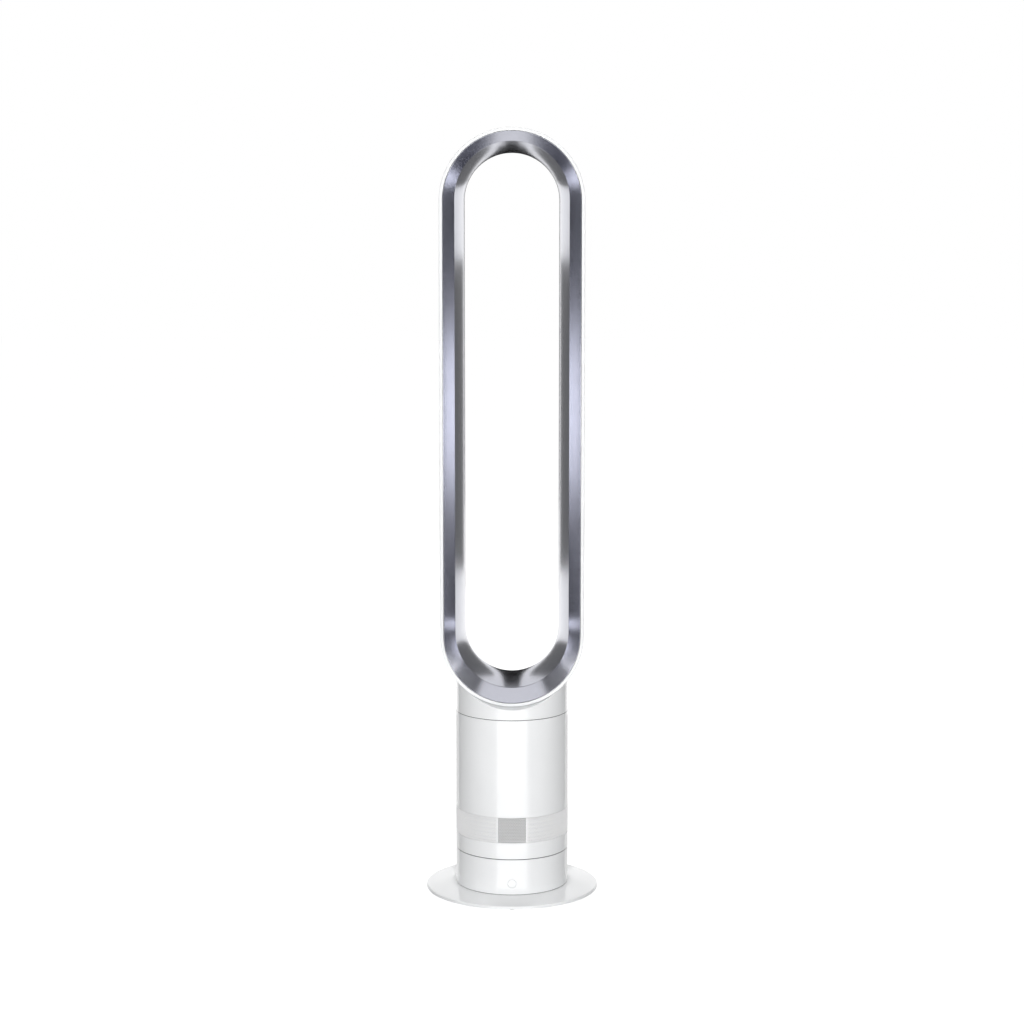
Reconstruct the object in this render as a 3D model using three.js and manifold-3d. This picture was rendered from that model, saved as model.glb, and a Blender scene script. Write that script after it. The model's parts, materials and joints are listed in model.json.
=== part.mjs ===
// A bladeless tower fan, in millimetres, +Z up, standing on z = 0 and facing -Y.
// A fixed foot carries a body that swings on it. The body draws air in through a perforated band,
// lifts it with a mixed-flow impeller and blows it out of a slit at the back of a tall nozzle loop.
import * as THREE from "three";
import { mergeVertices } from "three/addons/utils/BufferGeometryUtils.js";
import Module from "manifold-3d";

const wasm = await Module();
wasm.setup();

// ---------- driving dimensions ----------

// clearances
const seat = 0.3; // between two pieces that rest on or fit into each other
const running = 0.6; // between two pieces that move past each other

// facets round a full turn
const bodySides = 32;
const innerSides = 20;
const smallSides = 12;
const screwSides = 6;

// foot plate
const plateRadius = 114;
const plateEdge = 4;
const plateRise = 3.4;
const plateSkin = 2.4;
const plateShoulder = 3;
const plateChamfer = 1;
const plateRimWidth = 18;
const plateHoleRadius = 30;
const groundGap = 1.2;
const coverSheet = 1.6;
const ballastWidth = 26;
const ballastThickness = 2.3;
const footCount = 6;
const footRadius = 6.5;
const footRecess = 1.6;
const padChamfer = 1;

// body
const bodyRadius = 74.5;
const shellWall = 2.4;
const lowerHousingHeight = 47.1;
const lowerShellHeight = 21.6;
const grilleHeight = 33.3;
const upperShellHeight = 129.8;
const ledgeWidth = 10;
const ledgeThickness = 2.2;
const ledgeRamp = 6;
const mouthLedge = 3; // up from the upper shell's foot
const outletDrop = 5.8; // down from the upper shell's top
const lipHeight = 2;
const lipInset = 2;
const lipRamp = 3;

// power button and lead inlet
const buttonRadius = 5.5;
const buttonHeight = 15;
const buttonTravel = 1.5;
const buttonSink = 0.2;
const buttonChamfer = 0.5;
const buttonFlangeWidth = 1.9;
const buttonFlangeDepth = 1.5;
const buttonFlangeGap = 0.8;
const buttonStemRadius = 2;
const buttonStemLength = 2.7;
const inletRadius = 7;
const inletBore = 3.5;
const inletHeight = 13;
const inletDepth = 6;
const inletFlange = 2;
const inletGap = 1;

// electronics in the foot
const boardSheet = 1.6;
const boardLength = 84;
const boardWidth = 40;
const boardPost = 5;
const postWidth = 5;
const postInset = 4;
const transformerLength = 22;
const transformerWidth = 20;
const transformerHeight = 12;
const capacitorRadius = 6;
const capacitorHeight = 13;
const connectorLength = 16;
const connectorWidth = 6;
const switchWidth = 7;
const switchDepth = 4;
const switchGap = 0.4;
const switchCardWidth = 18;
const switchCardHeight = 26;

// swing drive
const deckSheet = 3;
const deckDrop = 6.3;
const glideWidth = 8;
const glideRadius = 64;
const turntableSheet = 3;
const turntableDrop = 1.7;
const hubRadius = 14;
const hubBore = 10;
const retainerWidth = 4;
const retainerThickness = 2.5;
const gearModule = 1.9;
const ringTeeth = 48;
const pinionTeeth = 12;
const pressureAngle = THREE.MathUtils.degToRad(20);
const backlash = 0.35;
const gearRim = 4;
const pinionShaftRadius = 2.5;
const pinionShaftLength = 9;
const swingMotorRadius = 15;
const swingMotorHeight = 20;
const motorLugReach = 7;
const motorLugWidth = 9;
const motorLugSheet = 1.6;
const motorBoreDepth = 6;
const screwCount = 4;
const screwRadius = 1.5;
const screwHeadRadius = 3;
const screwHead = 1.8;

// intake band
const grilleSheet = 1.6;
const grilleColumns = 32;
const grilleRows = 3;
const grilleMargin = 3;
const holeShare = 0.7; // of its cell's width and height
const windowAngle = THREE.MathUtils.degToRad(14.4);
const stripAngle = THREE.MathUtils.degToRad(2.6);
const windowSheet = 1.2;
const displayBoardWidth = 30;
// blower
const linerThickness = 5;
const linerGap = 4.5; // to the blower's housing
const mouthHeight = 9.6;
const mouthSheet = 2;
const throatGap = 1.6;
const impellerInlet = 35;
const impellerInset = 4; // from the housing's inner wall
const hubInlet = 13;
const hubHeight = 34;
const hubInset = 2;
const hubRim = 3;
const hubGap = 1.5;
const hubPocketWidth = 5;
const hubPocketDepth = 14;
const noseLength = 7;
const noseRound = 3;
const noseDish = 2;
const noseFlat = 6;
const bladeTipHeight = 22;
const bladeCount = 9;
const bladeWrap = THREE.MathUtils.degToRad(62);
const bladeThickness = 1.6;
const housingWall = 2;
const outletInset = 9; // from the housing's inner wall
const housingTaper = 20;
const skirtInset = 2; // from the impeller's outlet
const isolatorWidth = 5;
const isolatorOverhang = 1;
const bucketRadius = 36;
const bucketHeight = 68;
const bucketDome = 27;
const bucketWall = 2;
const bucketShoulder = 4;
const vaneCount = 9;
const vaneFoot = 6;
const vaneHeight = 26;
const vaneSink = 0.8;
const vaneThickness = 1.8;
const vaneTwist = THREE.MathUtils.degToRad(24);
const shaftRadius = 3;
const bearingRadius = 8;
const bearingHeight = 4;
const bearingSeat = 1;
const statorRadius = 31;
const statorHeight = 24;
const rotorRadius = 15;
const rotorGap = 2;
const rotorShorter = 2;
const shaftShorter = 2;
const shaftEnd = 6;
const funnelWall = 2;
const funnelDepth = 3.8;
const funnelGap = 2;

// nozzle loop: a stadium, one half round above the other
const loopHeight = 751;
const loopWidth = 187.4;
const loopDepth = 110;
const loopSteps = 14; // round each half
const loopWall = 2.4;
const loopRise = 13.8; // up from the neck's foot
const rimWidth = 4.3;
const rimRound = 1.3;
const sideDepth = 77;
const bezelSheet = 1.5;
const bezelSink = 0.2;
const bezelCorner = 1.6;
const bezelFlange = 10;
const lipWidth = 19.7;
const lipDepth = 17;
const lipLift = 2.4;
const throatRadius = 62.1;
const throatDepth = 84.5;
const innerSheet = 1.6;
const curlRadius = 9;
const tailLipDepth = 94;
const spacerCount = 8;
const spacerLength = 6;
const spacerWidth = 1.2;
const neckSkin = 2.6;
const ductWidth = 84;
const ductDepth = 60;
const sealWall = 2.5;
const sealHeight = 20;
const sealDrop = 6;

// ---------- sizes and levels that follow ----------

const loopRadius = loopWidth / 2;
const loopFront = -loopDepth / 2;
const bodyBore = bodyRadius - shellWall;
const linerBore = bodyBore - running - linerThickness;
const housingRadius = linerBore - linerGap - housingWall;
const housingOutlet = housingRadius - outletInset;
const impellerOutlet = housingRadius - impellerInset;
const skirtRadius = impellerOutlet - skirtInset;
const mouthRadius = skirtRadius + isolatorOverhang - isolatorWidth;
const plateTop = groundGap + plateEdge + plateRise;
const lowerFoot = plateTop + seat;
const lowerRim = lowerFoot + lowerHousingHeight;
const upperFoot = lowerRim + running;
const grilleFoot = upperFoot + lowerShellHeight + seat;
const upperShellFoot = grilleFoot + grilleHeight + seat;
const neckFoot = upperShellFoot + upperShellHeight + seat;
const deckTop = lowerRim - deckDrop;
const turntableFoot = lowerRim - turntableDrop;
const gearPitch = (gearModule * ringTeeth) / 2;
const pinionPitch = (gearModule * pinionTeeth) / 2;
const pinionOffset = gearPitch - pinionPitch;
const gearFoot = deckTop + running;
const gearHeight = turntableFoot - seat - gearFoot;
const bellmouthFoot = upperShellFoot + mouthLedge + ledgeThickness + seat;
const impellerFoot = bellmouthFoot + mouthHeight + throatGap;
const bucketFoot = impellerFoot + hubHeight + hubGap;
const outletLedge = upperShellHeight - outletDrop;
const displaySeat = turntableFoot + turntableSheet + ledgeThickness + 2 * seat;
const funnelFoot = upperShellFoot + outletLedge + ledgeThickness + seat;
const housingHeight = funnelFoot - funnelDepth - funnelGap - impellerFoot;
const loopBottom = neckFoot + loopRise;
const lowerCentre = loopBottom + loopRadius;
const upperCentre = loopBottom + loopHeight - loopRadius;
const lipRadius = loopRadius - lipWidth;

// ---------- materials ----------

const finishes = {
  white: { color: 0xf4f4f3, roughness: 0.18, metalness: 0 },
  satin: { color: 0xb9bac0, roughness: 0.32, metalness: 0.9 },
  grille: { color: 0xe9eaea, roughness: 0.35, metalness: 0 },
  smoked: { color: 0x3a3b3e, roughness: 0.15, metalness: 0 },
  rubber: { color: 0x2b2b2c, roughness: 0.85, metalness: 0 },
  steel: { color: 0x8f9296, roughness: 0.4, metalness: 1 },
  moulded: { color: 0x4a4c50, roughness: 0.55, metalness: 0 },
  acetal: { color: 0xe4e0d4, roughness: 0.4, metalness: 0 },
  foam: { color: 0x36373a, roughness: 0.95, metalness: 0 },
  board: { color: 0x2f6b46, roughness: 0.5, metalness: 0 },
};

// ---------- solids ----------

// A closed surface as a solid that can be joined and cut, its faces turned outwards.
function toSolid(geometry) {
  const bare = geometry.index ? geometry.toNonIndexed() : geometry.clone();
  bare.deleteAttribute("normal");
  bare.deleteAttribute("uv");
  const merged = mergeVertices(bare, 1e-4);
  const place = merged.getAttribute("position");
  const corners = merged.index.array;
  const triangles = [];
  let volume = 0;
  for (let i = 0; i < corners.length; i += 3) {
    const [a, b, c] = corners.slice(i, i + 3);
    if (a === b || b === c || c === a) continue;
    triangles.push(a, b, c);
    volume += tetrahedron(place, a, b, c);
  }
  if (volume < 0) triangles.reverse();
  const mesh = { numProp: 3, vertProperties: place.array, triVerts: new Uint32Array(triangles) };
  return new wasm.Manifold(new wasm.Mesh(mesh));
}

// Six times the signed volume between a triangle and the origin.
function tetrahedron(place, a, b, c) {
  const [u, v, w] = [a, b, c].map((i) => new THREE.Vector3().fromBufferAttribute(place, i));
  return u.dot(v.cross(w));
}

function toGeometry(solid) {
  const { vertProperties, triVerts } = solid.getMesh();
  const geometry = new THREE.BufferGeometry();
  geometry.setAttribute("position", new THREE.BufferAttribute(vertProperties, 3));
  geometry.setIndex(new THREE.BufferAttribute(triVerts, 1));
  return geometry;
}

function join(...pieces) {
  return toGeometry(pieces.map(toSolid).reduce((sum, piece) => sum.add(piece)));
}

function cut(body, ...tools) {
  return toGeometry(tools.map(toSolid).reduce((rest, tool) => rest.subtract(tool), toSolid(body)));
}

// A closed outline of [radius, height] turned about Z, with a corner of its facets at the front.
function revolve(outline, sides) {
  const points = outline.map(([radius, height]) => new THREE.Vector2(radius, height));
  if (points[0].x > 0) points.push(points[0].clone());
  return new THREE.LatheGeometry(points, sides).rotateX(Math.PI / 2);
}

// A plain ring or, with no bore, a disc, standing on z = 0.
function ring(outer, bore, height, sides) {
  return revolve([[bore, 0], [outer, 0], [outer, height], [bore, height]], sides);
}

// A round bar from the origin along -Y, +Y or +Z.
function bar(radius, length, sides, way = "z") {
  const rod = new THREE.CylinderGeometry(radius, radius, length, sides).translate(0, length / 2, 0);
  if (way === "z") rod.rotateX(Math.PI / 2);
  return rod;
}

// A box with its middle at x, y and its foot at z.
function block(width, depth, height, x = 0, y = 0, z = 0) {
  return new THREE.BoxGeometry(width, depth, height).translate(x, y, z + height / 2);
}

// Part of a ring, centred on the front.
function frontArc(outer, bore, halfAngle, height) {
  const front = -Math.PI / 2;
  const outline = new THREE.Shape();
  outline.absarc(0, 0, outer, front - halfAngle, front + halfAngle, false);
  outline.absarc(0, 0, bore, front + halfAngle, front - halfAngle, true);
  const settings = { depth: height, bevelEnabled: false, curveSegments: screwSides };
  return new THREE.ExtrudeGeometry(outline, settings);
}

// A sheet of even thickness, as an outline, from the points of its face. It grows to the left of
// the way that the points run.
function sheet(face, thickness) {
  const back = face.map((point, i) => {
    const before = face[Math.max(i - 1, 0)];
    const after = face[Math.min(i + 1, face.length - 1)];
    const along = (from, to) => new THREE.Vector2(to[0] - from[0], to[1] - from[1]).normalize();
    const into = i > 0 ? along(before, point) : along(point, after);
    const out = i < face.length - 1 ? along(point, after) : into;
    const middle = into.clone().add(out).normalize();
    const reach = thickness / Math.max(middle.dot(into), 0.5);
    return [point[0] - middle.y * reach, point[1] + middle.x * reach, point[2] ?? 0];
  });
  return [...face, ...back.reverse()];
}

// Points of a quarter or part ellipse between two angles.
function ellipse(centre, radii, from, to, steps) {
  return Array.from({ length: steps + 1 }, (_, i) => {
    const angle = from + ((to - from) * i) / steps;
    return [centre[0] + radii[0] * Math.cos(angle), centre[1] + radii[1] * Math.sin(angle)];
  });
}

// Evenly spaced turns of a piece about Z.
function around(count, make, start = 0) {
  return Array.from({ length: count }, (_, i) => make(start + (i * 2 * Math.PI) / count, i));
}

// Moves a shape out to a radius at an angle from the front, and up.
function at(geometry, radius, angle, height = 0) {
  return geometry.translate(0, -radius, 0).rotateZ(angle).translate(0, 0, height);
}

// A closed skin over two matching grids of points, such as the two faces of a blade.
function slab(front, back) {
  const rows = front.length;
  const columns = front[0].length;
  const points = [...front.flat(), ...back.flat()];
  const at = (side, i, j) => side * rows * columns + i * columns + j;
  const index = [];
  const quad = (a, b, c, d) => index.push(a, b, c, a, c, d);
  for (let i = 0; i < rows - 1; i++) {
    for (let j = 0; j < columns - 1; j++) {
      quad(at(0, i, j), at(0, i + 1, j), at(0, i + 1, j + 1), at(0, i, j + 1));
      quad(at(1, i, j), at(1, i, j + 1), at(1, i + 1, j + 1), at(1, i + 1, j));
    }
    quad(at(0, i, 0), at(1, i, 0), at(1, i + 1, 0), at(0, i + 1, 0));
    const last = columns - 1;
    quad(at(0, i, last), at(0, i + 1, last), at(1, i + 1, last), at(1, i, last));
  }
  for (let j = 0; j < columns - 1; j++) {
    quad(at(0, 0, j), at(0, 0, j + 1), at(1, 0, j + 1), at(1, 0, j));
    const last = rows - 1;
    quad(at(0, last, j), at(1, last, j), at(1, last, j + 1), at(0, last, j + 1));
  }
  return pointsGeometry(points, index);
}

function pointsGeometry(points, index) {
  const geometry = new THREE.BufferGeometry();
  geometry.setAttribute("position", new THREE.Float32BufferAttribute(points.flat(), 3));
  geometry.setIndex(index);
  return geometry;
}

// ---------- scene graph ----------

function piece(name, finish, geometry, height = 0) {
  const material = new THREE.MeshStandardMaterial(finishes[finish]);
  const mesh = new THREE.Mesh(toGeometry(toSolid(geometry)), material);
  mesh.name = name;
  mesh.position.z = height;
  return mesh;
}

// ---------- foot ----------

const rimBore = plateRadius - plateRimWidth;
const footRing = plateRadius - plateRimWidth / 2;
const screwRing = bodyBore - ledgeWidth / 2;
const screwTurn = Math.PI / screwCount;

function screwHoles(height) {
  const through = height + 2 * seat;
  const hole = (angle) => at(bar(screwRadius + seat, through, screwSides), screwRing, angle, -seat);
  return around(screwCount, hole, screwTurn);
}

function basePlate() {
  const top = plateEdge + plateRise;
  const ceiling = top - plateSkin;
  const outline = [
    [plateHoleRadius, top],
    [plateHoleRadius, ceiling],
    [bodyRadius, ceiling],
    [rimBore, plateEdge + plateRise / 2 - plateSkin],
    [rimBore, 0],
    [plateRadius - plateChamfer, 0],
    [plateRadius, plateChamfer],
    [plateRadius, plateEdge - plateChamfer],
    [plateRadius - plateChamfer, plateEdge],
    [bodyRadius + plateShoulder, top],
  ];
  const deep = footRecess + seat;
  const recess = (angle) => at(bar(footRadius + seat, deep, smallSides), footRing, angle, -seat);
  return cut(revolve(outline, bodySides), ...around(footCount, recess), ...screwHoles(top));
}

function footPad() {
  const height = groundGap + footRecess - seat;
  const outline = [
    [0, 0],
    [footRadius - padChamfer, 0],
    [footRadius, padChamfer],
    [footRadius, height],
    [0, height],
  ];
  return revolve(outline, smallSides);
}

function undersideCover() {
  return ring(rimBore - seat, 0, coverSheet, bodySides);
}

function ballastRing() {
  return ring(plateHoleRadius + seat + ballastWidth, plateHoleRadius + seat, ballastThickness, innerSides);
}

function lowerHousing() {
  const deckLedge = lowerHousingHeight - deckDrop - deckSheet - seat;
  const outline = [
    [bodyBore - ledgeWidth, 0],
    [bodyRadius, 0],
    [bodyRadius, lowerHousingHeight],
    [bodyBore, lowerHousingHeight],
    [bodyBore, deckLedge],
    [bodyBore - ledgeRamp, deckLedge],
    [bodyBore, deckLedge - ledgeRamp],
    [bodyBore, ledgeThickness],
    [bodyBore - ledgeWidth, ledgeThickness],
  ];
  const through = 4 * shellWall;
  const button = bar(buttonRadius + seat, through, smallSides, "y");
  button.translate(0, -bodyRadius - shellWall, buttonHeight);
  const inlet = bar(inletRadius + seat, through, smallSides, "y");
  inlet.translate(0, bodyBore - shellWall, inletHeight);
  return cut(revolve(outline, bodySides), button, inlet, ...screwHoles(ledgeThickness));
}

function housingScrew() {
  const shank = bar(screwRadius, plateSkin + seat + ledgeThickness, screwSides);
  return join(bar(screwHeadRadius, screwHead, screwSides).translate(0, 0, -screwHead), shank);
}

// The cap's face follows the housing's front, and its flange sits behind the wall.
const buttonFace = -bodyRadius + buttonSink;
const flangeFace = -bodyBore + buttonFlangeGap;
const stemEnd = flangeFace + buttonFlangeDepth + buttonStemLength;

function powerButton() {
  const outline = [
    [0, 0],
    [buttonRadius - buttonChamfer, 0],
    [buttonRadius, buttonChamfer],
    [buttonRadius, flangeFace - buttonFace],
    [buttonRadius + buttonFlangeWidth, flangeFace - buttonFace],
    [buttonRadius + buttonFlangeWidth, flangeFace - buttonFace + buttonFlangeDepth],
    [buttonStemRadius, flangeFace - buttonFace + buttonFlangeDepth],
    [buttonStemRadius, stemEnd - buttonFace],
    [0, stemEnd - buttonFace],
  ];
  return revolve(outline, smallSides).rotateX(-Math.PI / 2).translate(0, buttonFace, 0);
}

function buttonSwitch() {
  const front = stemEnd + buttonTravel + switchGap;
  const body = block(switchWidth, switchDepth, switchWidth, 0, front + switchDepth / 2, -switchWidth / 2);
  const foot = ledgeThickness + seat - buttonHeight;
  const card = block(switchCardWidth, boardSheet, switchCardHeight, 0, front + switchDepth, foot);
  return join(body, card);
}

function powerInlet() {
  const outline = [
    [inletBore, 0],
    [inletRadius + inletFlange, 0],
    [inletRadius + inletFlange, inletFlange],
    [inletRadius, inletFlange],
    [inletRadius, inletDepth],
    [inletBore, inletDepth],
  ];
  return revolve(outline, smallSides).rotateX(-Math.PI / 2);
}

function controlBoard() {
  const card = block(boardLength, boardWidth, boardSheet, 0, 0, boardPost);
  const [postX, postY] = [boardLength / 2 - postInset, boardWidth / 2 - postInset];
  const post = (x, y) => block(postWidth, postWidth, boardPost + boardSheet / 2, x, y);
  const posts = [post(-postX, -postY), post(postX, -postY), post(-postX, postY), post(postX, postY)];
  const sunk = boardPost + boardSheet / 2;
  const transformer = block(transformerLength, transformerWidth, transformerHeight);
  transformer.translate(-0.29 * boardLength, 0, sunk);
  const capacitor = bar(capacitorRadius, capacitorHeight, smallSides).translate(0, -0.15 * boardWidth, sunk);
  const [plugX, plugY] = [0.31 * boardLength, 0.3 * boardWidth];
  const connector = block(connectorLength, connectorWidth, connectorWidth, plugX, plugY, sunk);
  return join(card, ...posts, transformer, capacitor, connector);
}

// ---------- swing drive ----------

function bearingDeck() {
  const plate = ring(bodyBore - running, hubRadius + running, deckSheet, innerSides);
  const shaftHole = bar(pinionShaftRadius + running, 3 * deckSheet, smallSides);
  shaftHole.translate(0, pinionOffset, -deckSheet);
  return cut(plate, shaftHole);
}

function glideRing() {
  return ring(glideRadius, glideRadius - glideWidth, turntableFoot - seat - deckTop - seat, innerSides);
}

function turntable() {
  const hubLength = turntableFoot - (deckTop - deckSheet) + retainerThickness + running;
  const rim = bodyBore - running - seat;
  const outline = [
    [hubBore, -hubLength],
    [hubRadius, -hubLength],
    [hubRadius, 0],
    [rim, 0],
    [rim, turntableSheet],
    [hubBore, turntableSheet],
  ];
  return revolve(outline, innerSides);
}

function retainingRing() {
  return ring(hubRadius + retainerWidth, hubRadius + seat, retainerThickness, innerSides);
}

// The points of an involute gear. Its teeth are thinner than the pitch by the allowance, or
// thicker where that is below zero, as for the tooth spaces of an internal gear.
function gearOutline(teeth, tip, root, allowance, flankSteps) {
  const pitch = (gearModule * teeth) / 2;
  const base = pitch * Math.cos(pressureAngle);
  const involute = (angle) => Math.tan(angle) - angle;
  const halfTooth = (radius) => {
    const angle = Math.acos(Math.min(base / radius, 1));
    return Math.PI / (2 * teeth) + involute(pressureAngle) - involute(angle) - allowance / (2 * pitch);
  };
  const flank = Array.from({ length: flankSteps + 1 }, (_, i) => {
    const radius = root + ((tip - root) * i) / flankSteps;
    return [radius, halfTooth(radius)];
  });
  return around(teeth, (turn) => {
    const rising = flank.map(([radius, half]) => [radius, turn - half]);
    const falling = flank.map(([radius, half]) => [radius, turn + half]).reverse();
    return [...rising, ...falling];
  })
    .flat()
    .map(([radius, angle]) => new THREE.Vector2(-radius * Math.sin(angle), radius * Math.cos(angle)));
}

function ringGear() {
  const root = gearPitch + 1.25 * gearModule;
  const tip = gearPitch - 0.9 * gearModule;
  const body = new THREE.Shape();
  body.absarc(0, 0, root + gearRim, 0, 2 * Math.PI);
  body.holes.push(new THREE.Path(gearOutline(ringTeeth, root, tip, -backlash, 1)));
  const settings = { depth: gearHeight, bevelEnabled: false, curveSegments: bodySides };
  return new THREE.ExtrudeGeometry(body, settings);
}

function pinionGear() {
  const tip = pinionPitch + gearModule;
  const root = pinionPitch - 1.25 * gearModule;
  // A space of the ring lies straight behind the axis, so a tooth of the pinion points there.
  const teeth = new THREE.Shape(gearOutline(pinionTeeth, tip, root, backlash, 3));
  const wheel = new THREE.ExtrudeGeometry(teeth, { depth: gearHeight - seat, bevelEnabled: false });
  const shaft = bar(pinionShaftRadius, pinionShaftLength + gearHeight / 2, smallSides);
  return join(wheel, shaft.translate(0, 0, -pinionShaftLength));
}

function swingMotor() {
  const can = bar(swingMotorRadius, swingMotorHeight, innerSides);
  const lugsLength = 2 * (swingMotorRadius + motorLugReach);
  const lugs = block(lugsLength, motorLugWidth, motorLugSheet, 0, 0, swingMotorHeight - motorLugSheet);
  const bore = bar(pinionShaftRadius + running, pinionShaftLength, smallSides);
  return cut(join(can, lugs), bore.translate(0, 0, swingMotorHeight - motorBoreDepth));
}

// ---------- body shells ----------

function lowerShell() {
  const floor = turntableFoot + turntableSheet + seat - upperFoot;
  const outline = [
    [bodyBore, 0],
    [bodyRadius, 0],
    [bodyRadius, lowerShellHeight],
    [bodyRadius - grilleSheet - seat, lowerShellHeight],
    [bodyRadius - grilleSheet - seat, lowerShellHeight + lipHeight],
    [bodyBore - lipInset, lowerShellHeight + lipHeight],
    [bodyBore, lowerShellHeight - lipRamp],
    [bodyBore, floor + ledgeThickness],
    [bodyBore - ledgeWidth, floor + ledgeThickness],
    [bodyBore - ledgeWidth, floor],
    [bodyBore, floor],
  ];
  return revolve(outline, bodySides);
}

// Staggered diamonds all round, but for a plain strip on either side of the display's patch.
function intakeGrille() {
  const pitch = (2 * Math.PI) / grilleColumns;
  const rise = (grilleHeight - 2 * grilleMargin) / (grilleRows + 1);
  const halfWidth = (holeShare * bodyRadius * pitch) / 2;
  const halfAngle = (holeShare * pitch) / 2;
  const holes = [];
  for (let row = 0; row < grilleRows; row++) {
    for (let column = 0; column < grilleColumns; column++) {
      const angle = (column + (row % 2) / 2) * pitch;
      const fromFront = Math.min(angle, 2 * Math.PI - angle);
      const inWindow = fromFront + halfAngle < windowAngle;
      const inSides = fromFront - halfAngle > windowAngle + stripAngle;
      if (!inWindow && !inSides) continue;
      const height = grilleMargin + (row + 1) * rise;
      holes.push(at(diamond(halfWidth, holeShare * rise), bodyRadius, angle, height));
    }
  }
  return cut(ring(bodyRadius, bodyRadius - grilleSheet, grilleHeight, bodySides), joinApart(holes));
}

// A four-sided bar through the wall, a point at the top.
function diamond(halfWidth, halfHeight) {
  const outline = new THREE.Shape();
  outline.moveTo(halfWidth, 0).lineTo(0, halfHeight).lineTo(-halfWidth, 0).lineTo(0, -halfHeight);
  const depth = 4 * grilleSheet;
  return new THREE.ExtrudeGeometry(outline, { depth, bevelEnabled: false })
    .rotateX(Math.PI / 2)
    .translate(0, depth / 2, 0);
}

// Shapes that don't touch, put together as one list of triangles.
function joinApart(pieces) {
  const all = pieces.flatMap((piece) => [...piece.getAttribute("position").array]);
  const geometry = new THREE.BufferGeometry();
  geometry.setAttribute("position", new THREE.Float32BufferAttribute(all, 3));
  return geometry;
}

function upperShell() {
  const outline = [
    [bodyRadius - grilleSheet - seat, -lipHeight],
    [bodyRadius - grilleSheet - seat, 0],
    [bodyRadius, 0],
    [bodyRadius, upperShellHeight],
    [bodyBore, upperShellHeight],
    [bodyBore, outletLedge + ledgeThickness],
    [bodyBore - ledgeWidth, outletLedge + ledgeThickness],
    [bodyBore - ledgeWidth, outletLedge],
    [bodyBore, outletLedge - ledgeRamp],
    [bodyBore, mouthLedge + ledgeThickness],
    [bodyBore - ledgeWidth, mouthLedge + ledgeThickness],
    [bodyBore - ledgeWidth, mouthLedge],
    [bodyBore - lipInset, -lipHeight],
  ];
  return revolve(outline, bodySides);
}

function displayWindow() {
  const outer = (bodyRadius - grilleSheet) * Math.cos(Math.PI / bodySides) - seat;
  return frontArc(outer, outer - windowSheet, windowAngle, grilleHeight - 2 * lipHeight);
}

function displayBoard() {
  return block(displayBoardWidth, boardSheet, grilleFoot + grilleHeight - lipHeight - displaySeat);
}

// ---------- blower ----------

function acousticLiner() {
  const foot = bellmouthFoot - upperShellFoot + mouthSheet + seat;
  const top = outletLedge - ledgeRamp - seat;
  return ring(bodyBore - running, linerBore, top - foot, innerSides);
}

function bellmouth() {
  const throat = impellerInlet + running;
  const radii = [mouthRadius - throat, mouthHeight];
  const mouth = ellipse([mouthRadius, mouthHeight], radii, -Math.PI / 2, -Math.PI, 3);
  return revolve(sheet([[bodyBore - running, 0], ...mouth], -mouthSheet), innerSides);
}

// A meridional curve of the impeller, from its inlet, share 0, to its outlet, share 1. It can run
// at a clearance on the side away from the hub.
function flowCurve(inlet, outlet, height, share, clearance = 0) {
  const turn = (share * Math.PI) / 2;
  const radius = inlet + (outlet - inlet) * (1 - Math.cos(turn));
  const away = new THREE.Vector2(height * Math.cos(turn), -(outlet - inlet) * Math.sin(turn)).setLength(1);
  return [radius + away.x * clearance, height * Math.sin(turn) + away.y * clearance];
}

const hubOutlet = bucketRadius - hubInset;
const flowShares = [0, 0.3, 0.65, 1];

function hubCurve(share) {
  return flowCurve(hubInlet, hubOutlet, hubHeight, share);
}

function tipCurve(share, clearance) {
  return flowCurve(impellerInlet, impellerOutlet, bladeTipHeight, share, clearance);
}

function isolatorRing() {
  const height = mouthHeight + throatGap - mouthSheet - 2 * seat;
  return ring(skirtRadius + isolatorOverhang, mouthRadius, height, innerSides);
}

function impellerHousing() {
  const face = [
    ...flowShares.map((share) => tipCurve(share, running + seat)),
    [impellerOutlet + 3 * running, bladeTipHeight],
    [housingRadius, hubHeight],
    [housingRadius, housingHeight - housingTaper],
    [housingOutlet, housingHeight],
  ];
  const wall = revolve(sheet(face, -housingWall), innerSides);
  const skirtTop = bladeTipHeight - running - seat - 0.85 * housingWall;
  const skirt = ring(skirtRadius, skirtRadius - housingWall, skirtTop, innerSides);
  return join(wall, skirt);
}

function impeller() {
  const outline = [
    [shaftRadius + seat, noseDish - noseLength],
    [hubInlet - noseFlat, -noseLength],
    [hubInlet - seat, noseRound - noseLength],
    ...flowShares.map((share) => hubCurve(share)),
    [hubOutlet - hubRim, hubHeight],
    [shaftRadius + hubPocketWidth, hubHeight - hubPocketDepth],
    [shaftRadius + seat, hubHeight - hubPocketDepth],
  ];
  const blades = around(bladeCount, (turn) => impellerBlade().rotateZ(turn));
  return join(revolve(outline, 2 * bladeCount), ...blades);
}

// Each blade leans back round the hub as the air is turned outwards.
function impellerBlade() {
  const sunk = -0.06;
  const face = (side) =>
    flowShares.map((share) =>
      [sunk, 1].map((span) => {
        const [hubR, hubZ] = hubCurve(share);
        const [tipR, tipZ] = tipCurve(share);
        const radius = hubR + (tipR - hubR) * span;
        const height = hubZ + (tipZ - hubZ) * span;
        const angle = bladeWrap * share + (side * bladeThickness) / 2 / radius;
        return [radius * Math.cos(angle), radius * Math.sin(angle), height];
      }),
    );
  return slab(face(1), face(-1));
}

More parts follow.
